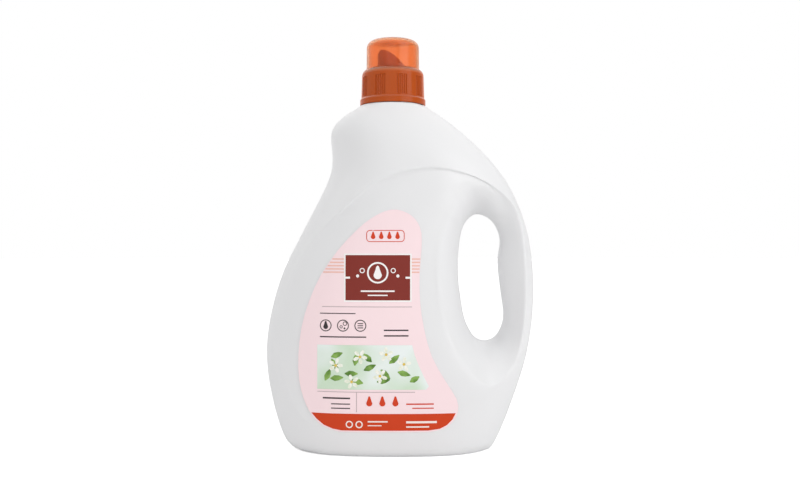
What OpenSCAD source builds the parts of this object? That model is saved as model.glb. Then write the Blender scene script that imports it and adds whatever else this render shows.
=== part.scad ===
// Laundry liquid bottle with a moulded-through handle, a pouring spout and a screw cap
// that is also the measuring cup. Millimetres, Z up, front towards -Y, handle towards +X.

/* [Bottle] */
// Width of the blown bottle across body and handle
body_w = 185.5; // [165:0.5:205]
// Height of the blown bottle up to the foot of its neck
body_h = 234.8; // [215:0.1:255]
// Depth of the blown bottle, front to back
body_d = 88; // [80:1:96]
// Thickness of the blown wall
wall = 1.2; // [0.9:0.1:1.8]
// Height of the push-up in the middle of the base
push_up = 4; // [2:0.5:8]
// Depth of the crease that runs round the label panel
crease_depth = 1.1; // [0.2:0.1:1.6]
// Depth of the hollow that sets off the rib on the pouring side
rib_hollow = 3.2; // [0:0.1:5]

/* [Neck] */
// Distance of the neck axis from the middle of the bottle, towards the pouring side
neck_offset = 5; // [2:0.5:8]
// Outside diameter of the neck between its threads
neck_d = 36.4; // [35:0.1:37]
// Wall thickness of the neck
neck_wall = 2; // [1.6:0.1:2.4]
// Height of the neck above the shoulder of the bottle
neck_h = 18.8; // [17:0.1:20]
// Outside diameter of the bead under the thread
bead_d = 41.4; // [39:0.1:41.6]

/* [Spout] */
// Outside diameter of the pouring tube
tube_d = 21; // [18:0.5:24]
// Wall thickness of the tube and its drain cup
tube_wall = 1.3; // [1:0.1:1.8]
// Height of the tip of the pouring lip above the rim of the neck
lip_h = 19.4; // [15:0.1:22.5]
// Outside diameter of the flange that lies on the rim of the neck
flange_d = 38.4; // [37.5:0.1:38.8]
// Thickness of that flange
flange_t = 1.6; // [1.2:0.1:2.2]
// Depth of the drain cup below the rim of the neck
cup_depth = 9.6; // [6:0.1:14]

/* [Cap] */
// Overall height of the cap
cap_h = 45.2; // [42:0.1:50]
// Outside diameter of the bead round the mouth of the cap
cap_bead_d = 45.5; // [44.5:0.1:48]
// Outside diameter of the skirt at its foot
skirt_d = 43.8; // [43.2:0.1:45]
// Inside diameter of the skirt
skirt_bore = 39.4; // [39.2:0.1:40]
// Outside diameter of the dome that serves as measuring cup
dome_d = 36.5; // [35.5:0.1:38]
// Wall thickness of the dome
dome_wall = 1.6; // [1.2:0.1:2]
// Number of grip panels round the skirt
grip_groups = 9; // [6:1:12]
// Number of grooves in each grip panel
grip_grooves = 5; // [3:1:6]
// Thickness of the sealing ring
seal_t = 1.5; // [1:0.1:2]

/* [Label] */
// Thickness of the label film
label_t = 0.2; // [0.1:0.05:0.4]

/* [Hidden] */
$fn = 72;

drawn_w = 185.5; // width at which the outlines below are drawn
drawn_h = 234.8; // height at which the outlines below are drawn
drawn_d = 88; // depth at which the side profile below is drawn
sx = body_w / drawn_w;
sz = body_h / drawn_h;
sy = body_d / drawn_d;
eps = 0.01;
cap_gap = 0.6; // cap mouth above the shoulder
film_gap = 0.2; // adhesive under the label
ink_t = 0.06; // thickness of a printed field
ink_gap = 0.05; // varnish between printed fields
plug_gap = 0.1; // spout plug inside the neck
groove_r = 0.6; // radius of a grip groove
groove_pitch = 4.1; // degrees from groove to groove
grip_z = [5.4, 19]; // grooves above the mouth of the cap, from and to

neck_x = -neck_offset;
foot_r = cap_bead_d / 2 + 0.15; // the shoulder ends just outside the cap
neck_rim = body_h + neck_h;
seal_z = neck_rim + flange_t;
cap_z = body_h + cap_gap;
cap_seat = seal_z + seal_t - cap_z;

// Curves

function unit(v) = v / norm(v);
function mix(a, b, t) = a + (b - a) * t;
function cubic(a, b, c, d, t) =
    0.5 * (2 * b + (c - a) * t + (2 * a - 5 * b + 4 * c - d) * t * t + (3 * b - a - 3 * c + d) * t * t * t);
function open_curve(k, n) = [
    for (i = [0 : len(k) - 2], j = [0 : n - 1])
        cubic(k[max(i - 1, 0)], k[i], k[i + 1], k[min(i + 2, len(k) - 1)], j / n),
    k[len(k) - 1]
];
function closed_curve(k, n) = let (m = len(k)) [
    for (i = [0 : m - 1], j = [0 : n - 1])
        cubic(k[(i + m - 1) % m], k[i], k[(i + 1) % m], k[(i + 2) % m], j / n)
];
function sized(k) = [for (p = k) [for (i = [0 : len(p) - 1]) p[i] * (i == 0 ? sx : i == 1 ? sz : 1)]];
function swapped(c) = [for (p = c) [p.y, p.x]];
function backwards(c) = [for (i = [len(c) - 1 : -1 : 0]) c[i]];

// Outlines of the bottle in the drawn size, [x, z]

// Pouring side, from the base up
left_knots = [
    [-73.4, 0], [-81.5, 9.3], [-90.4, 42], [-92.3, 75.4], [-83.3, 115],
    [-67, 148.5], [-49.8, 182.6], [-46.9, 199.3], [-48.2, 215.3], [-42, 225.7]
];
// Handle side, from the neck down
right_knots = [
    [36.9, 221.5], [58.4, 202], [74.7, 181.2], [86.2, 155.4], [91.8, 126.9],
    [92.4, 96.3], [87.7, 62.2], [76.5, 28], [67.9, 7.2], [63.5, 0]
];
// Crease of the label panel, then the outer edge of the handle, closed under the label
crease_knots = [
    [-59.7, 21.1], [-70.9, 33.5], [-79.8, 56.1], [-84.1, 79.7], [-75.7, 117.2], [-58.2, 143.9],
    [-38.7, 162.2], [-27, 172.1], [-16.5, 179.4], [-7, 184], [1.3, 186.8], [9.2, 188.4],
    [17.7, 189.4], [25.5, 189.2], [34, 188], [49.4, 184], [63.8, 176.8], [75.2, 167.5],
    [82.3, 153.5], [85.1, 129.8], [85.2, 100], [82, 70.9], [74.5, 53.1], [62.4, 43.3],
    [46.6, 25], [25, 20.4], [-5, 19], [-35, 18.7]
];
// Rim of the hand opening
rim_knots = [
    [26.6, 93.9], [25.3, 101.2], [24.4, 109], [23.9, 116.9], [23.8, 125.4], [24.4, 134.6],
    [25.5, 142], [27, 148.2], [28.9, 154], [31.4, 159.3], [34.5, 164.2], [37.5, 167.5],
    [40.8, 170.5], [44.5, 173.5], [49, 176], [56.5, 177.2], [63.6, 173.6], [71.6, 165.6],
    [78, 152.4], [81.1, 131.2], [81.3, 102.6], [78.8, 76.8], [71.4, 57], [61.2, 45.2],
    [46.4, 54.4], [38.5, 62.5], [33.2, 72], [29.4, 82]
];
// Edge of the hand opening at the parting plane
opening_knots = [
    [42.8, 98.3], [42, 103.9], [41.1, 110.2], [40.6, 117.1], [40.4, 124.8], [40.6, 132.4],
    [41.1, 138.5], [41.8, 143.8], [42.7, 148], [43.8, 151.3], [45.2, 154], [46.8, 156.1],
    [48.7, 157.9], [50.8, 159.3], [53.6, 160], [57.9, 159.1], [62.9, 156.2], [67, 150.5],
    [69.5, 141.5], [67.6, 126.9], [69.9, 105.3], [71.9, 88.6], [67, 76.4], [59, 72.6],
    [51.7, 75.4], [47.8, 81.3], [45.3, 86.8], [43.8, 92.5]
];
// At each knot: share of the crease depth, where the wall of the opening meets the body
// (0 at the rim, 1 at the crease), and how softly it does
edge_knots = [
    [0, 0, 9], [0, 0, 9], [0, 0, 9], [0, 0, 9], [0.1, 0, 9], [0.5, 0, 9], [0.95, 0, 9], [1, 0, 9],
    [1, 0, 9], [1, 0, 9], [1, 0.04, 9], [1, 0.1, 9], [1, 0.18, 8.8], [1, 0.3, 8.2], [1, 0.46, 7.3],
    [1, 0.67, 6], [0.9, 0.88, 4.5], [0.6, 1, 3.4], [0.2, 1, 2.8], [0, 1, 2.5], [0, 1, 2.5],
    [0, 1, 2.5], [0, 0.9, 2], [0, 0.3, 1.6], [0, 0, 2], [0, 0, 3.5], [0, 0, 5.5], [0, 0, 7.5]
];
// Half the depth over the height, seen from the side
side_knots = [
    [0, 40], [2.5, 42.6], [7, 43.7], [16, 44], [60, 44], [110, 44], [150, 44], [168, 43.6],
    [182, 42.4], [195, 40.2], [206, 37.4], [215, 34], [222, 30.6], [228, 27], [232, 24.6]
];
// Squareness of the plan over the height on each side, 2 for an ellipse
square_left = [[0, 3.2], [150, 3.2], [190, 2.7], [220, 2.2], [drawn_h, 2]];
square_right = [[0, 3.2], [40, 2.8], [70, 2.6], [160, 2.6], [200, 2.4], [drawn_h, 2]];
// Share of the rib hollow over the height, and how far inside the outline it runs
hollow_table = [[55, 0], [75, 0.3], [100, 0.5], [150, 0.62], [188, 1], [211, 1], [220, 0.45], [228, 0]];
hollow_in = [[85, 4.8], [106, 5.3], [134, 6], [150, 7.2], [170, 8.6], [190, 9]];
hollow_steep = 3.3; // its half width on the side of the rib
hollow_soft = 14; // its half width on the side of the body

sub = 3; // lines from knot to knot
arc_steps = 12; // lines over half the foot of the neck and half the base
left_curve = open_curve(concat(sized(left_knots), [[neck_x - foot_r, body_h]]), 12);
right_curve = open_curve(concat([[neck_x + foot_r, body_h]], sized(right_knots)), 12);
left_table = swapped(left_curve);
right_table = swapped(backwards(right_curve));
side_table = open_curve(concat([for (p = side_knots) [p.x * sz, p.y * sy]], [[body_h, foot_r]]), 8);
base_l = left_curve[0].x;
base_r = right_curve[len(right_curve) - 1].x;

// Outer edge, crease, rim and opening, with the same number of points on each
outline = concat(
    [for (i = [0 : 12 / sub : len(left_curve) - 1]) left_curve[i]],
    [for (i = [1 : arc_steps - 1]) [neck_x - foot_r * cos(180 * i / arc_steps), body_h]],
    [for (i = [0 : 12 / sub : len(right_curve) - 1]) right_curve[i]],
    [for (i = [1 : arc_steps - 1]) [mix(base_r, base_l, (1 - cos(180 * i / arc_steps)) / 2), 0]]
);
crease = closed_curve(sized(crease_knots), sub);
rim = closed_curve(sized(rim_knots), sub);
opening = closed_curve(sized(opening_knots), sub);
edge = closed_curve(edge_knots, sub);
lines = len(outline);
neck_l = sub * len(left_knots);
neck_r = neck_l + arc_steps;
foot_rt = neck_r + sub * len(right_knots);

// Half depth of the body as if it had no hand opening
function pillow(p) =
    let (l = lookup(p.y, left_table), r = lookup(p.y, right_table))
    let (u = (2 * p.x - l - r) / (r - l), e = lookup(p.y / sz, u < 0 ? square_left : square_right))
    lookup(p.y, side_table) * sqrt(max(0, 1 - pow(min(1, abs(u)), e)));

function soft_min(a, b, k) = let (h = max(k - abs(a - b), 0) / k) min(a, b) - h * h * k / 4;

// Half depth at p on line i of the net: the body, cut by the wall of the hand opening
function half_depth(p, i) =
    let (meet = mix(rim[i], crease[i], max(0, min(1, edge[i][1]))))
    let (part = norm(p - opening[i]) / norm(meet - opening[i]))
    soft_min(pillow(p), pillow(meet) * sqrt(part), edge[i][2] * sy);

// Points of one line of the net, from the outline to the opening
function net_line(a, b, c, d) =
    let (before = b + 1.5 * unit(a - b), after = b + min(0.5 * norm(c - b), 1.3) * unit(c - b))
    concat(
        [for (share = row_shares) mix(a, before, share)],
        [before, b, after],
        [for (j = [1 : 5]) mix(after, c, j / 5)],
        [for (j = [1 : 8]) mix(c, d, 1 - pow(1 - j / 8, 1.7))]
    );
row_shares = [0, 0.02, 0.055, 0.1, 0.155, 0.22, 0.31, 0.44, 0.61, 0.8];
rows = 26;
crease_row = 12;

function on_seam(i, j) = j == rows - 1 || (j == 0 && (i <= neck_l || (i >= neck_r && i <= foot_rt)));
plain_net = [
    for (i = [0 : lines - 1])
        let (q = net_line(outline[i], crease[i], rim[i], opening[i]))
        [for (j = [0 : rows - 1]) [q[j].x, on_seam(i, j) ? 0 : -half_depth(q[j], i), q[j].y]]
];

// Outward direction of a net at line i, row j
function outward(net, i, j) =
    let (n = len(net), m = len(net[0]), p = net[i][j])
    let (along = net[(i + 1) % n][j] - net[(i + n - 1) % n][j])
    let (before = j > 0 ? net[i][j - 1] : on_seam(i, 0) ? [net[i][1].x, -net[i][1].y, net[i][1].z] : p)
    let (after = j < m - 1 ? net[i][j + 1] : [net[i][m - 2].x, -net[i][m - 2].y, net[i][m - 2].z])
    unit(cross(after - before, along));

// How far the crease and the rib hollow sink a point
function sink(i, j) =
    let (p = plain_net[i][j], q = plain_net[i][crease_row])
    let (fade = max(0, 1 - norm(p - q) / 16))
    let (share = max(0, min(1, edge[i][0])))
    let (step = j >= crease_row && j < rows - 1 ? crease_depth * share * fade * fade * (3 - 2 * fade) : 0)
    let (x = p.x - lookup(p.z, left_table) - lookup(p.z / sz, hollow_in))
    let (half = x < 0 ? hollow_steep : hollow_soft)
    let (hollow = lookup(p.z / sz, hollow_table) * exp(-x * x / (half * half)))
    step + (j > 0 && j < rows - 1 ? rib_hollow * hollow : 0);
plain_out = [for (i = [0 : lines - 1]) [for (j = [0 : rows - 1]) outward(plain_net, i, j)]];
skin_net = [
    for (i = [0 : lines - 1])
        [for (j = [0 : rows - 1]) plain_net[i][j] - plain_out[i][j] * sink(i, j)]
];

// The same surface one wall further in, with fewer rows
inner_rows = [0, 2, 4, 7, 11, 13, 15, 17, 20, 23, 25];
base_mid = (base_l + base_r) / 2;
inner_net = [
    for (i = [0 : lines - 1])
        [for (k = [0 : len(inner_rows) - 1])
            let (j = inner_rows[k], p = skin_net[i][j], q = p - plain_out[i][j] * wall)
            let (low = wall + 0.1 * j, high = body_h - wall - 0.1 * j)
            let (in_neck = (foot_r - wall) / foot_r, in_base = 1 - wall / (40 * sy))
            j == 0 && i > neck_l && i < neck_r
                ? [mix(neck_x, p.x, in_neck), p.y * in_neck, high]
                : j == 0 && i > foot_rt
                ? [mix(base_mid, p.x, in_base), p.y * in_base, low]
                : [q.x, on_seam(i, j) ? 0 : min(q.y, 0), max(low, min(high, q.z))]]
];

// Closed solid from a front net, its mirror image, the neck end and the base
ring_scales = [0.86, 0.72];
function base_ring(loop, s, z) = [for (p = loop) [mix(base_mid, p.x, s), p.y * s, z]];
function mirrored(net) = [for (l = net) [for (p = l) [p.x, -p.y, p.z]]];
module closed_skin(net, floor_z) {
    m = len(net[0]);
    size = lines * m;
    front = [for (l = net, p = l) p];
    back = [for (l = mirrored(net), p = l) p];
    seam = function (i, j) j == m - 1 || (j == 0 && on_seam(i, 0));
    f = function (i, j) (i % lines) * m + j;
    b = function (i, j) (seam(i % lines, j) ? 0 : size) + (i % lines) * m + j;
    sides = [
        for (i = [0 : lines - 1], j = [0 : m - 2])
            let (q = [f(i, j), f(i + 1, j), f(i + 1, j + 1), f(i, j + 1)])
            let (r = [b(i, j), b(i, j + 1), b(i + 1, j + 1), b(i + 1, j)])
            each [[q[0], q[1], q[2]], [q[0], q[2], q[3]], [r[0], r[1], r[2]], [r[0], r[2], r[3]]]
    ];
    top = concat(
        [for (i = [neck_l : neck_r]) f(i, 0)],
        [for (i = [neck_r - 1 : -1 : neck_l + 1]) b(i, 0)]
    );
    foot = concat(
        [for (i = [foot_rt : lines]) f(i, 0)],
        [for (i = [lines - 1 : -1 : foot_rt + 1]) b(i, 0)]
    );
    n = len(foot);
    all_points = concat(front, back);
    loop = [for (i = foot) all_points[i]];
    ring_1 = base_ring(loop, ring_scales[0], loop[0].z);
    ring_2 = base_ring(loop, ring_scales[1], floor_z);
    r1 = function (i) 2 * size + i % n;
    r2 = function (i) 2 * size + n + i % n;
    base = [
        for (i = [0 : n - 1])
            let (a = foot[i], c = foot[(i + 1) % n])
            each [
                [a, c, r1(i + 1)], [a, r1(i + 1), r1(i)],
                [r1(i), r1(i + 1), r2(i + 1)], [r1(i), r2(i + 1), r2(i)]
            ]
    ];
    polyhedron(
        points = concat(all_points, ring_1, ring_2),
        faces = concat(
            sides,
            [backwards(top)],
            [for (t = base) backwards(t)],
            [[for (i = [n - 1 : -1 : 0]) r2(i)]]
        )
    );
}

// Parts

module bottle_body() color("WhiteSmoke") difference() {
    union() {
        closed_skin(skin_net, push_up);
        translate([neck_x, 0, 0]) rotate_extrude() polygon([
            [neck_d / 2 - neck_wall - 1, body_h - wall / 2],
            [neck_d / 2, body_h - wall / 2],
            [neck_d / 2, body_h + 2],
            [bead_d / 2, body_h + 2.6],
            [bead_d / 2, body_h + 3.6],
            [neck_d / 2, body_h + 4.2],
            [neck_d / 2, neck_rim - 0.6],
            [neck_d / 2 - 0.6, neck_rim],
            [neck_d / 2 - neck_wall - 1, neck_rim]
        ]);
    }
    closed_skin(inner_net, push_up + wall);
    translate([neck_x, 0, body_h - 8]) cylinder(d = neck_d - 2 * neck_wall, h = neck_h + 9);
}

module pour_spout() {
    plug_r = neck_d / 2 - neck_wall - plug_gap;
    tube_r = tube_d / 2;
    floor_z = neck_rim - cup_depth;
    color("Chocolate") translate([neck_x, 0, 0]) difference() {
        rotate_extrude() polygon([
            [tube_r - tube_wall, floor_z],
            [plug_r - 0.5, floor_z],
            [plug_r, floor_z + 1],
            [plug_r, neck_rim],
            [flange_d / 2, neck_rim],
            [flange_d / 2, seal_z - 0.3],
            [flange_d / 2 - 0.3, seal_z],
            [plug_r - tube_wall, seal_z],
            [plug_r - tube_wall, floor_z + tube_wall],
            [tube_r, floor_z + tube_wall],
            [tube_r, neck_rim + lip_h],
            [tube_r - tube_wall, neck_rim + lip_h]
        ]);
        translate([0, 0, neck_rim]) rotate([90, 0, 0])
            linear_extrude(height = tube_d + 10, center = true) polygon([
                [-tube_r - 2, lip_h - 8],
                [-tube_r - eps, lip_h - 3.6],
                [-tube_r + 0.8, lip_h - 1.4],
                [-tube_r + 1.8, lip_h - 0.3],
                [-tube_r + 2.9, lip_h],
                [-tube_r + 5, lip_h - 0.4],
                [-tube_r + 8, lip_h - 1.9],
                [-tube_r + 11, lip_h - 3.8],
                [-tube_r + 14, lip_h - 6.3],
                [-tube_r + 16.6, lip_h - 8.9],
                [-tube_r + 19, lip_h - 11.6],
                [tube_r + 2, lip_h - 14],
                [tube_r + 2, lip_h + 5],
                [-tube_r - 2, lip_h + 5]
            ]);
        translate([tube_r - tube_wall / 2, 0, floor_z + tube_wall + 3])
            cube([tube_wall * 3, 3.6, 6], center = true);
    }
}

module seal_ring() color("Ivory") translate([neck_x, 0, seal_z]) difference() {
    cylinder(d = flange_d - 0.2, h = seal_t);
    translate([0, 0, -1]) cylinder(d = dome_d - 2 * dome_wall + 0.6, h = seal_t + 2);
}

module measuring_cap() {
    rb = cap_bead_d / 2;
    rs = skirt_d / 2;
    rd = dome_d / 2;
    ri = skirt_bore / 2;
    rc = rd - dome_wall;
    draft = 0.4;
    bead_h = 3.6;
    foot_z = bead_h + 1.1; // foot of the skirt above the bead
    skirt_h = 19.5; // end of the straight skirt
    turn_w = 3.5; // width and height of the round shoulder from skirt to dome
    turn_h = 4.8;
    crown_r = 5.5; // rounding of the crown, outside and inside
    crown_in = 4;
    roof_z = cap_h - dome_wall;
    recess_r = bead_d / 2 + 0.5; // clears the bead of the neck
    lean = atan(draft / (skirt_h - foot_z));
    color("Coral") translate([neck_x, 0, cap_z]) difference() {
        rotate_extrude() polygon(concat(
            [[recess_r, 0], [rb - 0.4, 0], [rb, 0.4], [rb, bead_h], [rs, foot_z], [rs - draft, skirt_h]],
            [for (a = [15 : 15 : 75]) [rs - draft - turn_w * (1 - cos(a)), skirt_h + 0.3 + turn_h * sin(a)]],
            [[rd + 0.1, skirt_h + 5.4], [rd, skirt_h + 6.5], [rd - 0.1, cap_h - crown_r]],
            [for (a = [10 : 10 : 80]) [rd - 0.1 - crown_r * (1 - cos(a)), cap_h - crown_r * (1 - sin(a))]],
            [[rd - 0.1 - crown_r, cap_h], [0, cap_h], [0, roof_z], [rc - crown_in, roof_z]],
            [for (a = [75 : -15 : 15]) [rc - crown_in * (1 - cos(a)), roof_z - crown_in * (1 - sin(a))]],
            [[rc, roof_z - crown_in], [rc, cap_seat], [ri, cap_seat], [ri, 4.6], [recess_r, 4.2]]
        ));
        for (g = [0 : grip_groups - 1], k = [0 : grip_grooves - 1])
            rotate([0, 0, g * 360 / grip_groups - 73 + (k - (grip_grooves - 1) / 2) * groove_pitch])
            translate([rs + 0.05, 0, grip_z[0]])
            rotate([0, -lean, 0])
            cylinder(r = groove_r, h = grip_z[1] - grip_z[0], $fn = 12);
    }
}

// Outline of the label on the front, [z, left, right]
label_knots = [
    [16.8, -39.1, 19.5], [18.3, -45, 27], [20.6, -50.8, 31.7], [24.3, -55.6, 35.4],
    [30, -59.9, 38], [38, -63.6, 37], [50, -66.6, 29.6], [66, -67.1, 20.7], [84.5, -65, 15.6],
    [102, -59.8, 13.1], [119, -52, 12.8], [135, -40.8, 14], [146, -30.6, 14], [153, -22.9, 11.6],
    [157.6, -16, 7.6], [160.4, -10.2, 2.4], [161.6, -5.6, -2]
];
label_rows = open_curve([for (p = label_knots) [p[1] * sx, p[0] * sz, p[2] * sx]], 2);

// Closed thin film on the front of the body, between two edges [x, z]
module film(a, b, cols, lift, thick) {
    h = len(a);
    w = cols + 1;
    at = function (i, j, up) let (p = mix(a[i], b[i], j / cols)) [p.x, -pillow(p) - up, p.y];
    under = [for (i = [0 : h - 1], j = [0 : w - 1]) at(i, j, lift)];
    over = [for (i = [0 : h - 1], j = [0 : w - 1]) at(i, j, lift + thick)];
    u = function (i, j) i * w + j;
    o = function (i, j) h * w + i * w + j;
    border = concat(
        [for (j = [0 : w - 1]) [0, j]],
        [for (i = [1 : h - 1]) [i, w - 1]],
        [for (j = [w - 2 : -1 : 0]) [h - 1, j]],
        [for (i = [h - 2 : -1 : 1]) [i, 0]]
    );
    polyhedron(
        points = concat(under, over),
        faces = concat(
            [for (i = [0 : h - 2], j = [0 : w - 2]) each [
                [u(i, j), u(i, j + 1), u(i + 1, j + 1)], [u(i, j), u(i + 1, j + 1), u(i + 1, j)],
                [o(i, j), o(i + 1, j + 1), o(i, j + 1)], [o(i, j), o(i + 1, j), o(i + 1, j + 1)]
            ]],
            [for (s = [0 : len(border) - 1])
                let (p = border[s], q = border[(s + 1) % len(border)])
                each [
                    [u(p[0], p[1]), o(p[0], p[1]), o(q[0], q[1])],
                    [u(p[0], p[1]), o(q[0], q[1]), u(q[0], q[1])]
                ]]
        )
    );
}

module front_label() color("MistyRose")
    film([for (p = label_rows) [p[0], p[1]]], [for (p = label_rows) [p[2], p[1]]], 12, film_gap, label_t);

// Printed fields in the drawn size
keyline = 1; // white edge round the band
band_top = [28.7, -58.2, 36.4];
print_lift = film_gap + label_t + ink_gap;
// [z, left, right]
band_rows = concat(
    [for (i = [0 : 3])
        let (p = label_knots[i])
        [p[0] + (i == 0 ? keyline : keyline / 2), p[1] + keyline, p[2] - keyline]],
    [band_top]
);
plaque_rows = [for (z = [102.5, 112.3, 122.2, 132]) [z, -35.6, 6.6]];
picture_rows = [
    [44.4, -54.2, 17], [46.6, -54.2, 18.8], [53.2, -54.2, 15.4],
    [60, -54.2, 12.2], [66.8, -54.2, 9.6], [73.4, -54.2, 7.9]
];
// Leaves and blossoms of the printed sprigs, [x, z, direction, length]
leaves = [
    [-49, 50, 65, 8.5], [-45.5, 51.5, 5, 8.5], [-40.5, 57, 120, 8.5], [-36, 54.8, 0, 8.5],
    [-29.5, 60, 80, 8.5], [-23.5, 57, 25, 8.5], [-18.5, 62.5, 135, 7.5], [-12.5, 57.5, -45, 8.5],
    [-7, 61.5, 40, 8.5], [-1.5, 56, -15, 8.5], [-24, 48.6, 165, 8.5], [-15, 49.5, 10, 8.5],
    [6.5, 49.5, 30, 7], [-45, 65.5, 20, 8]
];
leaf_half = [0.3, 1.9, 1.6, 0.3]; // half width from the stalk to the tip
blossoms = [[-42, 60], [-31.5, 49.5], [-26, 65.8], [-9, 67.3], [-13, 53.3], [2.6, 61]];
petal_half = [0.2, 1.3, 0.7];
petal_len = 4;

function stretched(c) = [for (p = c) [p.x * sx, p.y * sz]];
module print(a, b, cols, layer)
    film(stretched(a), stretched(b), cols, print_lift + layer * (ink_t + ink_gap), ink_t);
module print_rows(rows, cols)
    print([for (p = rows) [p[1], p[0]]], [for (p = rows) [p[2], p[0]]], cols, 0);
module print_blade(at, direction, length, half, layer) {
    along = [cos(direction), sin(direction)];
    across = [-along.y, along.x];
    n = len(half) - 1;
    print(
        [for (i = [0 : n]) at + along * length * i / n + across * half[i]],
        [for (i = [0 : n]) at + along * length * i / n - across * half[i]],
        1, layer
    );
}

module label_band() color("Sienna") print_rows(band_rows, 14);

module label_plaque() color("Brown") print_rows(plaque_rows, 8);

module label_picture() color("Honeydew") print_rows(picture_rows, 14);

module label_leaves() color("OliveDrab") for (f = leaves)
    print_blade([f[0], f[1]], f[2], f[3], leaf_half, 1);

module label_blossoms() color("White") for (f = [0 : len(blossoms) - 1], k = [0 : 4])
    let (turn = k * 72 + f * 31)
    print_blade(blossoms[f] + 0.7 * [cos(turn), sin(turn)], turn, petal_len, petal_half, 2);

bottle_body();
pour_spout();
seal_ring();
measuring_cap();
front_label();
label_band();
label_plaque();
label_picture();
label_leaves();
label_blossoms();
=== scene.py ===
"""Looks of a two-litre laundry liquid bottle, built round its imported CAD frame."""

import logging
import math
from dataclasses import dataclass
from enum import Enum
from typing import Any, Callable

import bpy
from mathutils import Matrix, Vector


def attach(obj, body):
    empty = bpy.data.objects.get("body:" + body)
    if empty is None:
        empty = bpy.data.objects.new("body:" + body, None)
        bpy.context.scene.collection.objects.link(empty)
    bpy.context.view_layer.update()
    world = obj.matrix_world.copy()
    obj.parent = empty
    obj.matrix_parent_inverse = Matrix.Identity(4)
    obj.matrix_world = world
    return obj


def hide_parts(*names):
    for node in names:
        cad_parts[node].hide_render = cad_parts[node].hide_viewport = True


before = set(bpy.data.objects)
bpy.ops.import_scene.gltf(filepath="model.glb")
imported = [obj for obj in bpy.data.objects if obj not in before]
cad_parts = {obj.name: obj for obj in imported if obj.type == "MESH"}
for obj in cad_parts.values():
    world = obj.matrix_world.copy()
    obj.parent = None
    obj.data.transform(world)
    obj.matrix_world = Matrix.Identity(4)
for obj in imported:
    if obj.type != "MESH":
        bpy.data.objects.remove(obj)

LOG = logging.getLogger("bottle")
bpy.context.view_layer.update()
MM = 0.001
WHITE = (1.0, 1.0, 1.0, 1.0)
NODES: dict[str, bpy.types.Object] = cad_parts


class Body(Enum):
    """The frame's bodies that made pieces ride on."""

    BOTTLE = "bottle"
    CAP = "cap"


class Slot(Enum):
    """The record's material slots of made pieces."""

    HDPE = "white_hdpe"
    CORAL = "coral_pp"
    FILM = "label_film"
    INK_SIENNA = "ink_sienna"
    INK_MAROON = "ink_maroon"
    INK_GREEN = "ink_pale_green"
    INK_LEAF = "ink_leaf_green"
    INK_WHITE = "ink_white"


def linear(hex_colour: str) -> tuple[float, float, float, float]:
    """Turns an sRGB hex colour to linear light.

    Args:
        hex_colour: Six hex digits after a hash sign.

    Returns:
        Red, green, blue and alpha.
    """
    parts = [int(hex_colour[i : i + 2], 16) / 255 for i in (1, 3, 5)]
    low = [v / 12.92 if v <= 0.04045 else ((v + 0.055) / 1.055) ** 2.4 for v in parts]
    return (*low, 1.0)


def add_node(
    tree: bpy.types.NodeTree, kind: str, inputs: dict[str | int, Any], **settings: Any
) -> bpy.types.Node:
    """Adds one node with its settings, values and links.

    Args:
        tree: The material's node tree.
        kind: Blender's name of the node type.
        inputs: A value or an output socket for each named or numbered input.
        settings: Attributes of the node.

    Returns:
        The new node.
    """
    node = tree.nodes.new(kind)
    for name, value in settings.items():
        setattr(node, name, value)
    for key, value in inputs.items():
        if isinstance(value, bpy.types.NodeSocket):
            tree.links.new(value, node.inputs[key])
        else:
            node.inputs[key].default_value = value
    return node


def new_material(name: str) -> tuple[bpy.types.Material, bpy.types.NodeTree]:
    """Makes an empty node material.

    Args:
        name: What the material is called.

    Returns:
        The material and its node tree.
    """
    material = bpy.data.materials.new(name)
    material.use_nodes = True
    material.node_tree.nodes.clear()
    return material, material.node_tree


def close_material(tree: bpy.types.NodeTree, shader: bpy.types.NodeSocket) -> None:
    """Links a shader to the material's output.

    Args:
        tree: The material's node tree.
        shader: The output socket of the last shader.
    """
    add_node(tree, "ShaderNodeOutputMaterial", {"Surface": shader})


def object_mm(tree: bpy.types.NodeTree) -> bpy.types.NodeSocket:
    """Gives the object coordinates in millimetres as a vector socket.

    Args:
        tree: The material's node tree.

    Returns:
        The vector output.
    """
    place = add_node(tree, "ShaderNodeTexCoord", {})
    scaled = add_node(
        tree, "ShaderNodeVectorMath", {0: place.outputs["Object"], 1: (1 / MM,) * 3}, operation="MULTIPLY"
    )
    return scaled.outputs[0]


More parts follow.
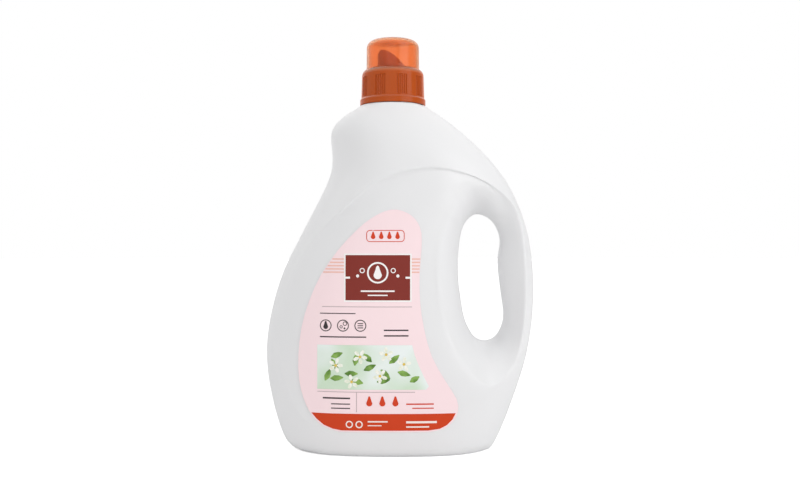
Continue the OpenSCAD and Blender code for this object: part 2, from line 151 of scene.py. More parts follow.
@dataclass(frozen=True)
class BlownPolyethylene:
    """White high-density polyethylene, blown against a sand-blasted mould.

    It gives the eye a milky white with soft, broad highlights and a very fine orange peel.
    """

    colour: str = "#E9E9EA"
    roughness: float = 0.36
    ior: float = 1.54
    milkiness: float = 0.2
    milk_depth_mm: float = 2.0
    peel_mm: float = 0.9
    peel_strength: float = 0.5
    peel_height_mm: float = 0.012
    parting_half_mm: float = 0.14
    parting_height_mm: float = 0.12

    def make(self) -> bpy.types.Material:
        """Builds the material, with the mould's parting line where y is 0.

        Returns:
            The material.
        """
        material, tree = new_material("blown_hdpe")
        at = object_mm(tree)
        peel = add_node(tree, "ShaderNodeTexNoise", {"Vector": at, "Scale": 1 / self.peel_mm, "Detail": 2.0})
        parts = add_node(tree, "ShaderNodeSeparateXYZ", {0: at})
        side = add_node(tree, "ShaderNodeMath", {0: parts.outputs["Y"]}, operation="ABSOLUTE")
        parting = add_node(
            tree,
            "ShaderNodeMapRange",
            {
                "Value": side.outputs[0],
                "From Min": 0.0,
                "From Max": self.parting_half_mm,
                "To Min": 1.0,
                "To Max": 0.0,
            },
            interpolation_type="SMOOTHSTEP",
        )
        fine = add_node(
            tree,
            "ShaderNodeBump",
            {
                "Height": peel.outputs["Fac"],
                "Strength": self.peel_strength,
                "Distance": self.peel_height_mm * MM,
            },
        )
        seam = add_node(
            tree,
            "ShaderNodeBump",
            {
                "Height": parting.outputs[0],
                "Strength": 1.0,
                "Distance": self.parting_height_mm * MM,
                "Normal": fine.outputs[0],
            },
        )
        shader = add_node(
            tree,
            "ShaderNodeBsdfPrincipled",
            {
                "Base Color": linear(self.colour),
                "Roughness": self.roughness,
                "IOR": self.ior,
                "Subsurface Weight": self.milkiness,
                "Subsurface Radius": (1.0, 1.0, 1.0),
                "Subsurface Scale": self.milk_depth_mm * MM,
                "Normal": seam.outputs[0],
            },
        )
        close_material(tree, shader.outputs[0])
        return material


@dataclass(frozen=True)
class TintedPolypropylene:
    """Injection-moulded polypropylene, polished and slightly see-through.

    It gives the eye a glowing warm colour, sharp highlights and the darker shape of what is behind it.
    """

    name: str
    colour: str
    see_through: float
    roughness: float
    ior: float = 1.38
    gloss: float = 0.3
    cloud_mm: float = 7.0
    cloud_depth: float = 0.03
    edge: str = ""
    edge_from: float = 0.62
    edge_to: float = 0.95
    edge_clouding: float = 0.8
    deep: str = ""
    deep_from_mm: float = 0.0
    deep_to_mm: float = 1.0
    deep_share: float = 0.25

    def edge_on(self, tree: bpy.types.NodeTree, inputs: dict[str | int, Any]) -> None:
        """Deepens and clouds the wall where it is seen edge-on and the way through it is long.

        Args:
            tree: The material's node tree.
            inputs: The shader's inputs, changed in place.
        """
        weight = add_node(tree, "ShaderNodeLayerWeight", {"Blend": 0.5})
        edge = add_node(
            tree,
            "ShaderNodeMapRange",
            {"Value": weight.outputs["Facing"], "From Min": self.edge_from, "From Max": self.edge_to},
            interpolation_type="SMOOTHSTEP",
        )
        mix = add_node(
            tree,
            "ShaderNodeMix",
            {0: edge.outputs[0], 6: inputs["Base Color"], 7: linear(self.edge)},
            data_type="RGBA",
        )
        less = add_node(
            tree,
            "ShaderNodeMath",
            {0: edge.outputs[0], 1: -self.edge_clouding, 2: 1.0},
            operation="MULTIPLY_ADD",
        )
        clear = add_node(
            tree,
            "ShaderNodeMath",
            {0: inputs["Transmission Weight"], 1: less.outputs[0]},
            operation="MULTIPLY",
        )
        inputs["Base Color"] = mix.outputs[2]
        inputs["Transmission Weight"] = clear.outputs[0]

    def make(self) -> bpy.types.Material:
        """Builds the material, which turns deeper and less see-through below a height.

        Returns:
            The material.
        """
        material, tree = new_material(self.name)
        at = object_mm(tree)
        cloud = add_node(tree, "ShaderNodeTexNoise", {"Vector": at, "Scale": 1 / self.cloud_mm, "Detail": 2.0})
        shade = add_node(
            tree,
            "ShaderNodeMapRange",
            {"Value": cloud.outputs["Fac"], "To Min": 1 - self.cloud_depth, "To Max": 1 + self.cloud_depth},
        )
        tint = add_node(
            tree, "ShaderNodeHueSaturation", {"Value": shade.outputs[0], "Color": linear(self.colour)}
        )
        inputs: dict[str | int, Any] = {
            "Base Color": tint.outputs[0],
            "Roughness": self.roughness,
            "IOR": self.ior,
            "Specular IOR Level": self.gloss,
            "Transmission Weight": self.see_through,
        }
        if self.deep:
            parts = add_node(tree, "ShaderNodeSeparateXYZ", {0: at})
            low = add_node(
                tree,
                "ShaderNodeMapRange",
                {
                    "Value": parts.outputs["Z"],
                    "From Min": self.deep_from_mm,
                    "From Max": self.deep_to_mm,
                    "To Min": 1.0,
                    "To Max": 0.0,
                },
                interpolation_type="SMOOTHSTEP",
            )
            mix = add_node(
                tree,
                "ShaderNodeMix",
                {0: low.outputs[0], 6: tint.outputs[0], 7: linear(self.deep)},
                data_type="RGBA",
            )
            clear = add_node(
                tree,
                "ShaderNodeMapRange",
                {
                    "Value": low.outputs[0],
                    "To Min": self.see_through,
                    "To Max": self.see_through * self.deep_share,
                },
            )
            inputs["Base Color"] = mix.outputs[2]
            inputs["Transmission Weight"] = clear.outputs[0]
        if self.edge:
            self.edge_on(tree, inputs)
        shader = add_node(tree, "ShaderNodeBsdfPrincipled", inputs)
        close_material(tree, shader.outputs[0])
        return material


@dataclass(frozen=True)
class FoamedPolyethylene:
    """Closed-cell foam of the sealing ring, cut from sheet: matt, with a fine grain."""

    colour: str = "#EFECE4"
    roughness: float = 0.7
    grains_per_mm: float = 3.0
    grain_strength: float = 0.6
    grain_height_mm: float = 0.1

    def make(self) -> bpy.types.Material:
        """Builds the material.

        Returns:
            The material.
        """
        material, tree = new_material("foam_seal")
        grain = add_node(
            tree, "ShaderNodeTexNoise", {"Vector": object_mm(tree), "Scale": self.grains_per_mm, "Detail": 3.0}
        )
        bump = add_node(
            tree,
            "ShaderNodeBump",
            {
                "Height": grain.outputs["Fac"],
                "Strength": self.grain_strength,
                "Distance": self.grain_height_mm * MM,
            },
        )
        shader = add_node(
            tree,
            "ShaderNodeBsdfPrincipled",
            {"Base Color": linear(self.colour), "Roughness": self.roughness, "Normal": bump.outputs[0]},
        )
        close_material(tree, shader.outputs[0])
        return material


@dataclass(frozen=True)
class PrintedFilm:
    """Polypropylene label film with flat inks under a satin varnish.

    It gives the eye even colour with a soft sheen, which ripples a little as the film follows the bottle.
    """

    name: str
    ink: str
    second_ink: str = ""
    patch_mm: float = 10.0
    patch_range: tuple[float, float] = (0.35, 0.65)
    roughness: float = 0.42
    ior: float = 1.36
    ripple_mm: float = 5.0
    ripple_strength: float = 0.35
    ripple_height_mm: float = 0.08

    def make(self) -> bpy.types.Material:
        """Builds the material in one ink, or in soft patches of two.

        Returns:
            The material.
        """
        material, tree = new_material(self.name)
        at = object_mm(tree)
        ripple = add_node(
            tree, "ShaderNodeTexNoise", {"Vector": at, "Scale": 1 / self.ripple_mm, "Detail": 1.0}
        )
        bump = add_node(
            tree,
            "ShaderNodeBump",
            {
                "Height": ripple.outputs["Fac"],
                "Strength": self.ripple_strength,
                "Distance": self.ripple_height_mm * MM,
            },
        )
        colour: Any = linear(self.ink)
        if self.second_ink:
            patches = add_node(
                tree, "ShaderNodeTexNoise", {"Vector": at, "Scale": 1 / self.patch_mm, "Detail": 1.0}
            )
            start, end = self.patch_range
            share = add_node(
                tree,
                "ShaderNodeMapRange",
                {"Value": patches.outputs["Fac"], "From Min": start, "From Max": end},
            )
            colour = add_node(
                tree,
                "ShaderNodeMix",
                {0: share.outputs[0], 6: linear(self.ink), 7: linear(self.second_ink)},
                data_type="RGBA",
            ).outputs[2]
        shader = add_node(
            tree,
            "ShaderNodeBsdfPrincipled",
            {"Base Color": colour, "Roughness": self.roughness, "IOR": self.ior, "Normal": bump.outputs[0]},
        )
        close_material(tree, shader.outputs[0])
        return material


def dress(piece: bpy.types.Object, material: bpy.types.Material) -> None:
    """Gives a piece one material all over.

    Args:
        piece: The mesh object.
        material: Its finish.
    """
    piece.data.materials.clear()
    piece.data.materials.append(material)


def choose(piece: bpy.types.Object) -> None:
    """Makes a piece the only selected one and the active one.

    Args:
        piece: The object to select.
    """
    bpy.ops.object.select_all(action="DESELECT")
    piece.select_set(True)
    bpy.context.view_layer.objects.active = piece


def pick(piece: bpy.types.Object, test: Callable[[Any], bool], kind: str = "VERT") -> None:
    """Enters edit mode with just the vertices or faces selected that pass a test.

    Args:
        piece: The active mesh object.
        test: Says whether a vertex or a face is wanted.
        kind: VERT or FACE.
    """
    bpy.ops.object.mode_set(mode="EDIT")
    bpy.ops.mesh.select_mode(type=kind)
    bpy.ops.mesh.select_all(action="DESELECT")
    bpy.ops.object.mode_set(mode="OBJECT")
    for part in piece.data.polygons if kind == "FACE" else piece.data.vertices:
        part.select = test(part)
    bpy.ops.object.mode_set(mode="EDIT")


def apply_modifier(piece: bpy.types.Object, kind: str, **settings: Any) -> None:
    """Adds a modifier with its settings and applies it.

    Args:
        piece: The mesh object.
        kind: Blender's name of the modifier type.
        settings: Attributes of the modifier.
    """
    choose(piece)
    modifier = piece.modifiers.new(kind.lower(), kind)
    for name, value in settings.items():
        setattr(modifier, name, value)
    bpy.ops.object.modifier_apply(modifier=modifier.name)


def finish_piece(piece: bpy.types.Object, body: Body, material: bpy.types.Material) -> None:
    """Puts a made piece's place in its mesh, dresses it and lets it ride on its body.

    Args:
        piece: The mesh object.
        body: What it moves with.
        material: Its finish.
    """
    choose(piece)
    bpy.ops.object.transform_apply(location=True, rotation=True, scale=True)
    dress(piece, material)
    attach(piece, body.value)
    LOG.info("%s rides on %s, %d faces", piece.name, body.value, len(piece.data.polygons))


def copy_node(node: str, name: str) -> bpy.types.Object:
    """Copies a CAD node as a merged mesh that can be changed.

    Args:
        node: The CAD node's name.
        name: What the copy is called.

    Returns:
        The copy, selected and active.
    """
    choose(NODES[node])
    bpy.ops.object.duplicate()
    piece = bpy.context.view_layer.objects.active
    piece.name = name
    for key in [key for key in piece.keys() if key.startswith("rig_")]:
        del piece[key]
    bpy.ops.object.mode_set(mode="EDIT")
    bpy.ops.mesh.select_all(action="SELECT")
    bpy.ops.mesh.remove_doubles(threshold=0.01 * MM)
    bpy.ops.mesh.select_all(action="DESELECT")
    bpy.ops.object.mode_set(mode="OBJECT")
    return piece


@dataclass
class BlownBottle:
    """The blown bottle's skin with the scar of its mould."""

    smooth_levels: int = 1
    sharp_deg: float = 38.0
    quad_bend_deg: float = 30.0
    quad_skew_deg: float = 60.0
    scar_mm: tuple[float, float, float] = (72.0, 1.1, 0.8)
    scar_at_mm: tuple[float, float, float] = (-7.0, 0.0, 3.8)
    scar_round_mm: float = 0.35

    def build(self, material: bpy.types.Material) -> bpy.types.Object:
        """Smooths the skin and lets it stand for the CAD node.

        Args:
            material: The bottle's finish.

        Returns:
            The skin.
        """
        skin = copy_node("bottle_body", "bottle_skin")
        bpy.ops.object.mode_set(mode="EDIT")
        bpy.ops.mesh.select_all(action="SELECT")
        bpy.ops.mesh.tris_convert_to_quads(
            face_threshold=math.radians(self.quad_bend_deg), shape_threshold=math.radians(self.quad_skew_deg)
        )
        bpy.ops.mesh.select_all(action="DESELECT")
        bpy.ops.mesh.edges_select_sharp(sharpness=math.radians(self.sharp_deg))
        bpy.ops.transform.edge_crease(value=1.0)
        bpy.ops.object.mode_set(mode="OBJECT")
        apply_modifier(skin, "SUBSURF", levels=self.smooth_levels, render_levels=self.smooth_levels)
        bpy.ops.object.shade_smooth_by_angle(angle=math.radians(self.sharp_deg))
        finish_piece(skin, Body.BOTTLE, material)
        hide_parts("bottle_body")
        return skin

    def scar(self, material: bpy.types.Material) -> None:
        """Adds the ridge under the base where the mould pinched the tube of plastic off.

        Args:
            material: The bottle's finish.
        """
        bpy.ops.object.select_all(action="DESELECT")
        bpy.ops.mesh.primitive_cube_add(size=1.0, location=[v * MM for v in self.scar_at_mm])
        ridge = bpy.context.view_layer.objects.active
        ridge.name = "pinch_off_scar"
        ridge.scale = [v * MM for v in self.scar_mm]
        bpy.ops.object.transform_apply(location=False, rotation=False, scale=True)
        apply_modifier(ridge, "BEVEL", width=self.scar_round_mm * MM, segments=2)
        bpy.ops.object.shade_smooth_by_angle(angle=math.radians(self.sharp_deg))
        finish_piece(ridge, Body.BOTTLE, material)


@dataclass(frozen=True)
class ScrewThread:
    """A run of thread, wound round the neck's axis by a Screw modifier.

    Root and crest are radii, and the crest of the cap's thread is the smaller one.
    """

    name: str
    root_mm: float
    crest_mm: float
    foot_mm: float
    foot_half_mm: float = 0.9
    crest_share: float = 0.5
    pitch_mm: float = 4.0
    turns: float = 1.75
    steps: int = 112
    run_out: int = 8
    axis_x_mm: float = -5.0
    start_deg: float = 0.0
    sharp_deg: float = 35.0

    def profile(self) -> bpy.types.Object:
        """Draws the trapezoid of the thread as loose edges.

        Returns:
            The new object, with its origin on the neck's axis.
        """
        bpy.ops.object.select_all(action="DESELECT")
        bpy.ops.mesh.primitive_plane_add(size=2.0, location=(0, 0, 0))
        thread = bpy.context.view_layer.objects.active
        thread.name = self.name
        half = (self.crest_mm - self.root_mm) / 2
        middle = (self.crest_mm + self.root_mm) / 2
        pick(thread, lambda vertex: vertex.co.x > 0)
        bpy.ops.transform.resize(value=(1, self.crest_share, 1), center_override=(0, 0, 0))
        bpy.ops.mesh.select_all(action="SELECT")
        bpy.ops.transform.rotate(value=math.radians(90), orient_axis="X", center_override=(0, 0, 0))
        bpy.ops.transform.resize(value=(half * MM, 1, self.foot_half_mm * MM), center_override=(0, 0, 0))
        bpy.ops.transform.translate(value=(middle * MM, 0, 0))
        bpy.ops.mesh.delete(type="ONLY_FACE")
        bpy.ops.mesh.select_all(action="SELECT")
        bpy.ops.transform.rotate(value=math.radians(self.start_deg), orient_axis="Z", center_override=(0, 0, 0))
        bpy.ops.object.mode_set(mode="OBJECT")
        thread.location = (self.axis_x_mm * MM, 0, self.foot_mm * MM)
        return thread

    def build(self, body: Body, slot: Slot, material: bpy.types.Material) -> None:
        """Winds the thread, lets its ends run out and closes them.

        Args:
            body: What it moves with.
            slot: The record's material slot; not used.
            material: Its finish.
        """
        thread = self.profile()
        apply_modifier(
            thread,
            "SCREW",
            angle=math.radians(360 * self.turns),
            screw_offset=self.pitch_mm * self.turns * MM,
            steps=self.steps,
            render_steps=self.steps,
            use_smooth_shade=False,
        )
        rings = len(thread.data.vertices) // 4
        for step in range(self.run_out):
            grow = 1 - (1 - self.root_mm / self.crest_mm) * (1 - step / self.run_out)
            ends = (step, rings - 1 - step)
            pick(thread, lambda vertex: vertex.index // 4 in ends)
            bpy.ops.transform.resize(value=(grow, grow, 1), center_override=(self.axis_x_mm * MM, 0, 0))
            bpy.ops.object.mode_set(mode="OBJECT")
        bpy.ops.object.mode_set(mode="EDIT")
        bpy.ops.mesh.select_all(action="SELECT")
        bpy.ops.mesh.fill_holes(sides=4)
        bpy.ops.mesh.normals_make_consistent(inside=False)
        bpy.ops.object.mode_set(mode="OBJECT")
        bpy.ops.object.shade_smooth_by_angle(angle=math.radians(self.sharp_deg))
        finish_piece(thread, body, material)


@dataclass
class Closure:
    """The screw cap, the pouring spout under it, the sealing ring between them and both threads."""

    neck_thread: ScrewThread = ScrewThread("neck_thread", root_mm=18.1, crest_mm=19.6, foot_mm=242.2)
    cap_thread: ScrewThread = ScrewThread(
        "cap_thread", root_mm=19.8, crest_mm=19.25, foot_mm=241.2, start_deg=-90.0
    )
    cap_finish: TintedPolypropylene = TintedPolypropylene(
        "coral_pp",
        "#FFB27E",
        see_through=0.92,
        roughness=0.16,
        edge="#EE7434",
        deep="#C85A22",
        deep_from_mm=256.0,
        deep_to_mm=260.0,
    )
    spout_finish: TintedPolypropylene = TintedPolypropylene(
        "sienna_pp", "#C06826", see_through=0.05, roughness=0.35
    )
    seal_finish: FoamedPolyethylene = FoamedPolyethylene()

    def build(self, neck_material: bpy.types.Material) -> None:
        """Winds the threads and dresses the CAD nodes that stay as they are.

        Args:
            neck_material: The bottle's finish.
        """
        coral = self.cap_finish.make()
        self.neck_thread.build(Body.BOTTLE, Slot.HDPE, neck_material)
        self.cap_thread.build(Body.CAP, Slot.CORAL, coral)
        for node, material in (
            ("measuring_cap", coral),
            ("pour_spout", self.spout_finish.make()),
            ("seal_ring", self.seal_finish.make()),
        ):
            dress(NODES[node], material)
            LOG.info("%s is dressed in %s", node, material.name)


@dataclass
class Label:
    """The printed film on the front, with its fields and fine print.

    The prints are drawn in x and z, in millimetres, on a sheet in front of the bottle.
    """

    bottle: bpy.types.Object
    sheet_y_mm: float = -62.0
    film_lift_mm: float = 0.3
    line_lift_mm: float = 0.06
    ink_lift_mm: float = 0.1
    leaf_lift_mm: float = 0.18
    blossom_lift_mm: float = 0.26
    field_lift_mm: float = 0.2
    top_lift_mm: float = 0.34
    front_limit: float = -0.2
    thickest_mm: float = 0.15
    settle_share: float = 0.5
    settle_rounds: int = 2
    sharp_deg: float = 30.0
    cell_mm: tuple[float, float] = (1.4, 4.0)
    disc_corners: int = 24
    drop_steps: int = 5
    drop_step_deg: float = 15.0
    drop_taper: float = 0.86
    left_edge: tuple[tuple[float, float], ...] = ((119.0, -52.0), (135.0, -40.8))
    right_edge: tuple[tuple[float, float], ...] = ((119.0, 12.8), (135.0, 14.0))
    plaque: tuple[float, float, float, float] = (-35.6, 6.6, 102.5, 132.0)
    stripes_mm: tuple[float, ...] = (120.8, 122.9, 125.0, 127.2, 129.4)
    blossoms_mm: tuple[tuple[float, float], ...] = (
        (-42.0, 60.0), (-31.5, 49.5), (-26.0, 65.8), (-9.0, 67.3), (-13.0, 53.3), (2.6, 61.0)
    )
    film: bpy.types.Object | None = None

    def hug(
        self, node: str, name: str, under: bpy.types.Object, lift_mm: float, film: PrintedFilm
    ) -> bpy.types.Object:
        """Replaces a flat CAD field by its front face, laid close on the surface under it.

        Args:
            node: The CAD node.
            name: What the copy is called.
            under: What it lies on.
            lift_mm: Height of its front over that surface.
            film: Its ink.

        Returns:
            The copy.
        """
        field = copy_node(node, name)
        pick(field, lambda face: face.normal.y > self.front_limit, "FACE")
        bpy.ops.mesh.delete(type="FACE")
        bpy.ops.object.mode_set(mode="OBJECT")
        apply_modifier(field, "SUBSURF", subdivision_type="SIMPLE", levels=1, render_levels=1)
        self.project(field, under, lift_mm)
        if under is not self.film:
            apply_modifier(
                field,
                "SMOOTH",
                factor=self.settle_share,
                iterations=self.settle_rounds,
                use_x=False,
                use_z=False,
            )
        apply_modifier(field, "SOLIDIFY", thickness=min(self.thickest_mm, lift_mm / 2) * MM, offset=-1.0)
        bpy.ops.object.shade_smooth_by_angle(angle=math.radians(self.sharp_deg))
        finish_piece(field, Body.BOTTLE, film.make())
        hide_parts(node)
        return field

    def project(self, piece: bpy.types.Object, under: bpy.types.Object, lift_mm: float) -> None:
        """Lays a flat mesh on the surface behind it.

        Args:
            piece: The mesh object, in front of the surface.
            under: What it lies on.
            lift_mm: Height over that surface.
        """
        apply_modifier(
            piece,
            "SHRINKWRAP",
            target=under,
            wrap_method="PROJECT",
            use_project_y=True,
            use_positive_direction=True,
            use_negative_direction=False,
            wrap_mode="OUTSIDE_SURFACE",
            offset=lift_mm * MM,
        )

    def lay(
        self, name: str, shapes: list[bpy.types.Object], lift_mm: float, film: PrintedFilm
    ) -> None:
        """Joins flat shapes, lays them on the film and prints them in one ink.

        Args:
            name: What the print is called.
            shapes: Flat meshes in front of the label.
            lift_mm: Height over the film.
            film: The ink.
        """
        bpy.ops.object.select_all(action="DESELECT")
        for shape in shapes:
            shape.select_set(True)
        bpy.context.view_layer.objects.active = shapes[0]
        if len(shapes) > 1:
            bpy.ops.object.join()
        shapes[0].name = name
        bpy.ops.object.transform_apply(location=True, rotation=True, scale=True)
        self.project(shapes[0], self.film, lift_mm)
        bpy.ops.object.shade_smooth()
        finish_piece(shapes[0], Body.BOTTLE, film.make())

    def bar(self, x0: float, x1: float, z0: float, z1: float) -> bpy.types.Object:
        """Draws a plain bar.

        Args:
            x0: Its left edge, in millimetres.
            x1: Its right edge.
            z0: Its lower edge.
            z1: Its upper edge.

        Returns:
            The flat mesh.
        """
        cell_x, cell_z = self.cell_mm
        bpy.ops.mesh.primitive_grid_add(
            x_subdivisions=max(1, round((x1 - x0) / cell_x)),
            y_subdivisions=max(1, round((z1 - z0) / cell_z)),
            size=1.0,
            location=((x0 + x1) / 2 * MM, self.sheet_y_mm * MM, (z0 + z1) / 2 * MM),
            rotation=(math.radians(90), 0, 0),
        )
        bar = bpy.context.view_layer.objects.active
        bar.scale = ((x1 - x0) * MM, (z1 - z0) * MM, 1)
        return bar

    def disc(
        self, x: float, z: float, radius: float, hole: float = 0.0, point: float = 0.0
    ) -> bpy.types.Object:
        """Draws a disc, a ring or a drop.

        Args:
            x: Its middle, in millimetres.
            z: Its middle height.
            radius: Its radius.
            hole: Radius of its hole, or 0.
            point: How far a drop's point rises over the disc, or 0.

        Returns:
            The flat mesh.
        """
        bpy.ops.mesh.primitive_circle_add(
            vertices=self.disc_corners,
            radius=radius * MM,
            fill_type="NOTHING" if hole else "TRIFAN",
            location=(x * MM, self.sheet_y_mm * MM, z * MM),
            rotation=(math.radians(90), 0, 0),
        )
        disc = bpy.context.view_layer.objects.active
        if hole:
            bpy.ops.object.mode_set(mode="EDIT")
            bpy.ops.mesh.select_all(action="SELECT")
            bpy.ops.mesh.extrude_edges_move()
            bpy.ops.transform.resize(value=(hole / radius,) * 3)
            bpy.ops.object.mode_set(mode="OBJECT")
        if point:
            for ring in range(self.drop_steps):
                angle = math.radians(self.drop_step_deg * (ring + 2 / 3))
                pick(disc, lambda vertex: vertex.co.y > radius * MM * math.sin(angle))
                bpy.ops.transform.translate(value=(0, 0, point * MM / self.drop_steps))
                bpy.ops.transform.resize(value=(self.drop_taper, 1, 1))
                bpy.ops.object.mode_set(mode="OBJECT")
        return disc

    def edge_at(self, edge: tuple[tuple[float, float], ...], z: float) -> float:
        """Reads the label's edge at a height.

        Args:
            edge: Two points of it, as height and x in millimetres.
            z: The height.

        Returns:
            Its x in millimetres.
        """
        (z0, x0), (z1, x1) = edge
        return x0 + (x1 - x0) * (z - z0) / (z1 - z0)

    def fields(self) -> None:
        """Takes over the film and its printed CAD fields."""
        pink = PrintedFilm("pink_film", "#FBE3E6")
        self.film = self.hug("front_label", "label_skin", self.bottle, self.film_lift_mm, pink)
        for node, slot, lift_mm, film in (
            ("label_band", Slot.INK_SIENNA, self.ink_lift_mm, PrintedFilm("sienna_ink", "#CF3D0C")),
            ("label_plaque", Slot.INK_MAROON, self.ink_lift_mm, PrintedFilm("maroon_ink", "#842C22")),
            (
                "label_picture",
                Slot.INK_GREEN,
                self.ink_lift_mm,
                PrintedFilm("pale_green_ink", "#EEF5F3", "#CFE3CB", 26.0),
            ),
            (
                "label_leaves",
                Slot.INK_LEAF,
                self.leaf_lift_mm,
                PrintedFilm("leaf_green_ink", "#4F7A2C", "#8DB45A", 5.0),
            ),
            (
                "label_blossoms",
                Slot.INK_WHITE,
                self.blossom_lift_mm,
                PrintedFilm("blossom_white_ink", "#FBFBF4", "#E6EBD6", 2.2),
            ),
        ):
            self.hug(node, f"{node}_print", self.film, lift_mm, film)

    def plaque_print(self) -> None:
        """Prints the plaque's white edge and notches, its stripes and a plain emblem."""
        x0, x1, z0, z1 = self.plaque
        white = PrintedFilm("white_ink", "#FAF6F4")
        edge = [self.bar(x0 - 1, x1 + 1, z0 - 1, z1 + 1)]
        self.lay("plaque_edge", edge, self.line_lift_mm, white)
        emblem = [
            self.bar(x0, x0 + 3, 116.6, 117.9),
            self.bar(x1 - 3, x1, 116.6, 117.9),
            self.disc(-14.5, 120.5, 7.0, hole=5.9),
            self.disc(-14.5, 119.0, 2.7, point=3.4),
            self.disc(-24.6, 121.9, 1.7, hole=1.1),
            self.disc(-27.6, 118.4, 1.0),
            self.disc(-4.4, 121.9, 1.7, hole=1.1),
            self.disc(-1.4, 118.4, 1.0),
            self.bar(-25.5, -3.5, 108.0, 109.0),
            self.bar(-21.0, -8.0, 105.4, 106.2),
        ]
        self.lay("plaque_emblem", emblem, self.field_lift_mm, white)
        stripes = []
        for z in self.stripes_mm:
            stripes.append(self.bar(self.edge_at(self.left_edge, z) + 0.3, x0 - 1, z - 0.4, z + 0.4))
            stripes.append(self.bar(x1 + 1, self.edge_at(self.right_edge, z) - 0.3, z - 0.4, z + 0.4))
        salmon = PrintedFilm("salmon_ink", "#F1BCAC")
        self.lay("side_stripes", stripes, self.line_lift_mm, salmon)

    def lines(self) -> None:
        """Prints the thin rules and the grey pictograms that stand where a label has its wording."""
        rules = [
            self.bar(-51.0, 7.8, 98.05, 98.45),
            self.bar(-54.2, 9.8, 42.6, 43.0),
            self.bar(-28.5, -28.1, 29.8, 42.6),
        ]
        self.lay("grey_rules", rules, self.line_lift_mm, PrintedFilm("grey_ink", "#B7A6A8"))
        signs = [
            self.disc(-48.6, 86.0, 3.9, hole=3.3),
            self.disc(-48.6, 85.2, 1.6, point=2.2),
            self.disc(-37.2, 86.0, 3.9, hole=3.3),
            self.disc(-38.4, 85.2, 1.0, hole=0.6),
            self.disc(-35.9, 87.3, 1.4, hole=0.95),
            self.disc(-36.2, 84.2, 0.6),
            self.disc(-25.8, 86.0, 3.9, hole=3.3),
            self.bar(-27.6, -24.0, 84.3, 84.9),
            self.bar(-27.6, -24.0, 85.7, 86.3),
            self.bar(-27.6, -24.0, 87.1, 87.7),
            self.bar(-52.5, -22.0, 78.2, 79.0),
            self.bar(-52.5, -29.0, 93.6, 94.2),
            self.bar(-10.5, 5.5, 82.6, 83.5),
            self.bar(-10.5, 5.5, 79.0, 79.9),
            self.bar(-50.5, -32.5, 38.2, 39.2),
            self.bar(-45.0, -32.5, 34.6, 35.3),
            self.bar(-45.0, -32.5, 31.8, 32.5),
        ]
        self.lay("dark_signs", signs, self.line_lift_mm, PrintedFilm("charcoal_ink", "#3B3436"))

    def warm_print(self) -> None:
        """Prints the badge, the drops on the foot of the film and the band's white shapes."""
        bpy.ops.mesh.primitive_plane_add(
            size=1.0, location=(-9.5 * MM, self.sheet_y_mm * MM, 144.4 * MM), rotation=(math.radians(90), 0, 0)
        )
        badge = bpy.context.view_layer.objects.active
        badge.scale = (25.0 * MM, 7.8 * MM, 1)
        bpy.ops.object.transform_apply(location=False, rotation=False, scale=True)
        bpy.ops.object.mode_set(mode="EDIT")
        bpy.ops.mesh.select_all(action="SELECT")
        bpy.ops.mesh.bevel(offset=2.4 * MM, segments=5, affect="VERTICES")
        bpy.ops.mesh.select_all(action="SELECT")
        bpy.ops.mesh.inset(thickness=0.5 * MM)
        bpy.ops.mesh.delete(type="FACE")
        bpy.ops.mesh.select_all(action="SELECT")
        bpy.ops.mesh.subdivide(number_cuts=3)
        bpy.ops.object.mode_set(mode="OBJECT")
        warm = [badge]
        warm += [self.disc(x, 143.9, 1.5, point=1.9) for x in (-17.5, -12.2, -6.9, -1.6)]
        warm += [self.disc(x, 35.6, 2.0, point=2.6) for x in (-20.0, -11.5, -3.0)]
        warm += [self.bar(4.0, 22.0, 34.6, 35.5), self.bar(8.0, 22.0, 32.0, 32.7)]
        self.lay("warm_print", warm, self.line_lift_mm, PrintedFilm("warm_ink", "#D43F18"))
        band = [
            self.disc(-33.0, 21.8, 2.4, hole=1.6),
            self.disc(-26.6, 21.8, 2.4, hole=1.6),
            self.bar(-21.0, -8.0, 23.2, 24.1),
            self.bar(-21.0, -12.0, 20.8, 21.4),
            self.bar(4.0, 24.0, 22.6, 24.0),
            self.bar(4.0, 19.0, 19.8, 20.7),
        ]
        self.lay("band_print", band, self.field_lift_mm, PrintedFilm("pale_ink", "#F7E9E2"))

    def blossom_centres(self) -> None:
        """Prints the yellow middles of the blossoms."""
        middles = [self.disc(x, z, 0.9) for x, z in self.blossoms_mm]
        yellow = PrintedFilm("yellow_ink", "#DFC25A")
        self.lay("blossom_middles", middles, self.top_lift_mm, yellow)

    def build(self) -> None:
        """Prints the whole label."""
        self.fields()
        self.plaque_print()
        self.lines()
        self.warm_print()
        self.blossom_centres()


@dataclass(frozen=True)
class SoftBox:
    """A rectangular soft lamp, with its place and size in metres."""

    name: str
    place: tuple[float, float, float]
    size: tuple[float, float]
    watts: float


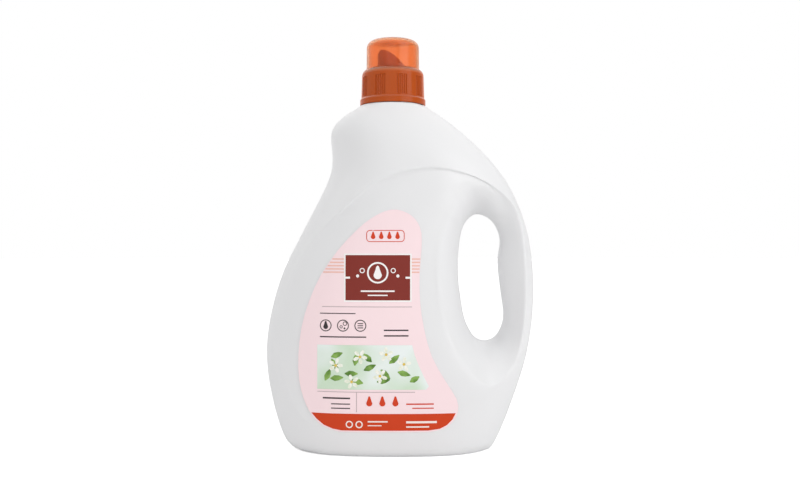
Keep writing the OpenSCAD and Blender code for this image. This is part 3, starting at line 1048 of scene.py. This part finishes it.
@dataclass
class Studio:
    """Camera, lamps, surroundings and floor.

    The soft light reaches matt surfaces, and glossy ones mirror the other. Each of their sides has an axis of
    the direction, its gain, negative for the side of negative coordinates, and where on the axis it starts.
    """

    eye: tuple[float, float, float] = (0.0, -0.669, 0.1366)
    lens: float = 43.25
    sensor: float = 36.0
    aim: tuple[float, float, float] = (0.0, 0.0, 0.14)
    lamps: tuple[SoftBox, ...] = (
        SoftBox("right_box", place=(0.8, -0.65, 0.6), size=(0.85, 0.9), watts=4.0),
        SoftBox("front", place=(-0.1, -1.3, 0.3), size=(1.0, 1.0), watts=2.0),
    )
    soft_base: float = 0.4
    soft_sides: tuple[tuple[str, float, float], ...] = (
        ("X", 0.54, 0.0),
        ("X", -0.75, 0.0),
        ("Y", 0.3, 0.0),
    )
    mirror_sides: tuple[tuple[str, float, float], ...] = (
        ("Z", 2.4, 0.25),
        ("Y", 0.75, 0.0),
        ("X", -0.57, 0.0),
    )
    floor_colour: str = "#F4F4F4"
    floor_glow: float = 0.62
    floor_radius: float = 12.0
    floor_z: float = -0.0003

    def camera(self) -> None:
        """Sets the camera at the photograph's view."""
        data = bpy.data.cameras.new("camera")
        data.lens = self.lens
        data.sensor_width = self.sensor
        camera = bpy.data.objects.new("camera", data)
        camera.location = self.eye
        camera.rotation_euler = (math.radians(90), 0.0, 0.0)
        bpy.context.scene.collection.objects.link(camera)
        bpy.context.scene.camera = camera

    def hang(self, box: SoftBox) -> None:
        """Adds a lamp that looks at the middle of the bottle.

        Args:
            box: The lamp.
        """
        data = bpy.data.lights.new(box.name, "AREA")
        data.shape = "RECTANGLE"
        data.size, data.size_y = box.size
        data.energy = box.watts
        lamp = bpy.data.objects.new(box.name, data)
        lamp.location = box.place
        lamp.rotation_euler = (Vector(self.aim) - Vector(box.place)).to_track_quat("-Z", "Y").to_euler()
        bpy.context.scene.collection.objects.link(lamp)

    def glow(
        self,
        tree: bpy.types.NodeTree,
        way: bpy.types.Node,
        base: float,
        sides: tuple[tuple[str, float, float], ...],
    ) -> bpy.types.NodeSocket:
        """Sums an even brightness and brighter sides of the surroundings.

        Args:
            tree: The world's node tree.
            way: The node that gives the direction's coordinates.
            base: Brightness all round.
            sides: Axis, gain and start of each brighter side.

        Returns:
            The brightness.
        """
        total: Any = base
        for axis, gain, start in sides:
            lobe = add_node(
                tree,
                "ShaderNodeMath",
                {0: way.outputs[axis], 1: gain, 2: -gain * start},
                operation="MULTIPLY_ADD",
            )
            side = add_node(tree, "ShaderNodeMath", {0: lobe.outputs[0], 1: 0.0}, operation="MAXIMUM")
            total = add_node(tree, "ShaderNodeMath", {0: side.outputs[0], 1: total}, operation="ADD").outputs[0]
        return total

    def world(self) -> None:
        """Gives surroundings that are plain white to the camera and light the bottle from their sides."""
        world = bpy.data.worlds.new("studio")
        world.use_nodes = True
        tree = world.node_tree
        tree.nodes.clear()
        path = add_node(tree, "ShaderNodeLightPath", {})
        seen = add_node(
            tree,
            "ShaderNodeMath",
            {0: path.outputs["Is Camera Ray"], 1: path.outputs["Is Transmission Ray"]},
            operation="MAXIMUM",
        )
        place = add_node(tree, "ShaderNodeTexCoord", {})
        way = add_node(tree, "ShaderNodeSeparateXYZ", {0: place.outputs["Generated"]})
        soft = self.glow(tree, way, self.soft_base, self.soft_sides)
        mirror = self.glow(tree, way, 0.0, self.mirror_sides)
        light = add_node(
            tree, "ShaderNodeMix", {0: path.outputs["Is Glossy Ray"], 2: soft, 3: mirror}, data_type="FLOAT"
        )
        power = add_node(
            tree, "ShaderNodeMix", {0: seen.outputs[0], 2: light.outputs[0], 3: 1.0}, data_type="FLOAT"
        )
        back = add_node(tree, "ShaderNodeBackground", {"Color": WHITE, "Strength": power.outputs[0]})
        add_node(tree, "ShaderNodeOutputWorld", {"Surface": back.outputs[0]})
        bpy.context.scene.world = world

    def floor(self) -> None:
        """Adds the pale floor, which keeps the bottle's shadow."""
        bpy.ops.object.select_all(action="DESELECT")
        bpy.ops.mesh.primitive_circle_add(
            vertices=96, radius=self.floor_radius, fill_type="NGON", location=(0, 0, self.floor_z)
        )
        floor = bpy.context.view_layer.objects.active
        floor.name = "floor"
        material, tree = new_material("floor_paper")
        path = add_node(tree, "ShaderNodeLightPath", {})
        diffuse = add_node(tree, "ShaderNodeBsdfDiffuse", {"Color": linear(self.floor_colour)})
        glow = add_node(tree, "ShaderNodeEmission", {"Color": WHITE, "Strength": self.floor_glow})
        both = add_node(tree, "ShaderNodeAddShader", {0: diffuse.outputs[0], 1: glow.outputs[0]})
        shown = add_node(
            tree,
            "ShaderNodeMixShader",
            {0: path.outputs["Is Camera Ray"], 1: diffuse.outputs[0], 2: both.outputs[0]},
        )
        close_material(tree, shown.outputs[0])
        dress(floor, material)

    def build(self) -> None:
        """Sets up the whole studio."""
        self.camera()
        self.world()
        self.floor()
        for box in self.lamps:
            self.hang(box)


def main() -> None:
    """Builds every sub-assembly in order."""
    logging.basicConfig(level=logging.INFO, format="%(message)s")
    bpy.context.scene.view_settings.view_transform = "Standard"
    Studio().build()
    bottle = BlownBottle()
    polyethylene = BlownPolyethylene().make()
    skin = bottle.build(polyethylene)
    bottle.scar(polyethylene)
    Closure().build(polyethylene)
    Label(skin).build()


if __name__ == "__main__":
    main()
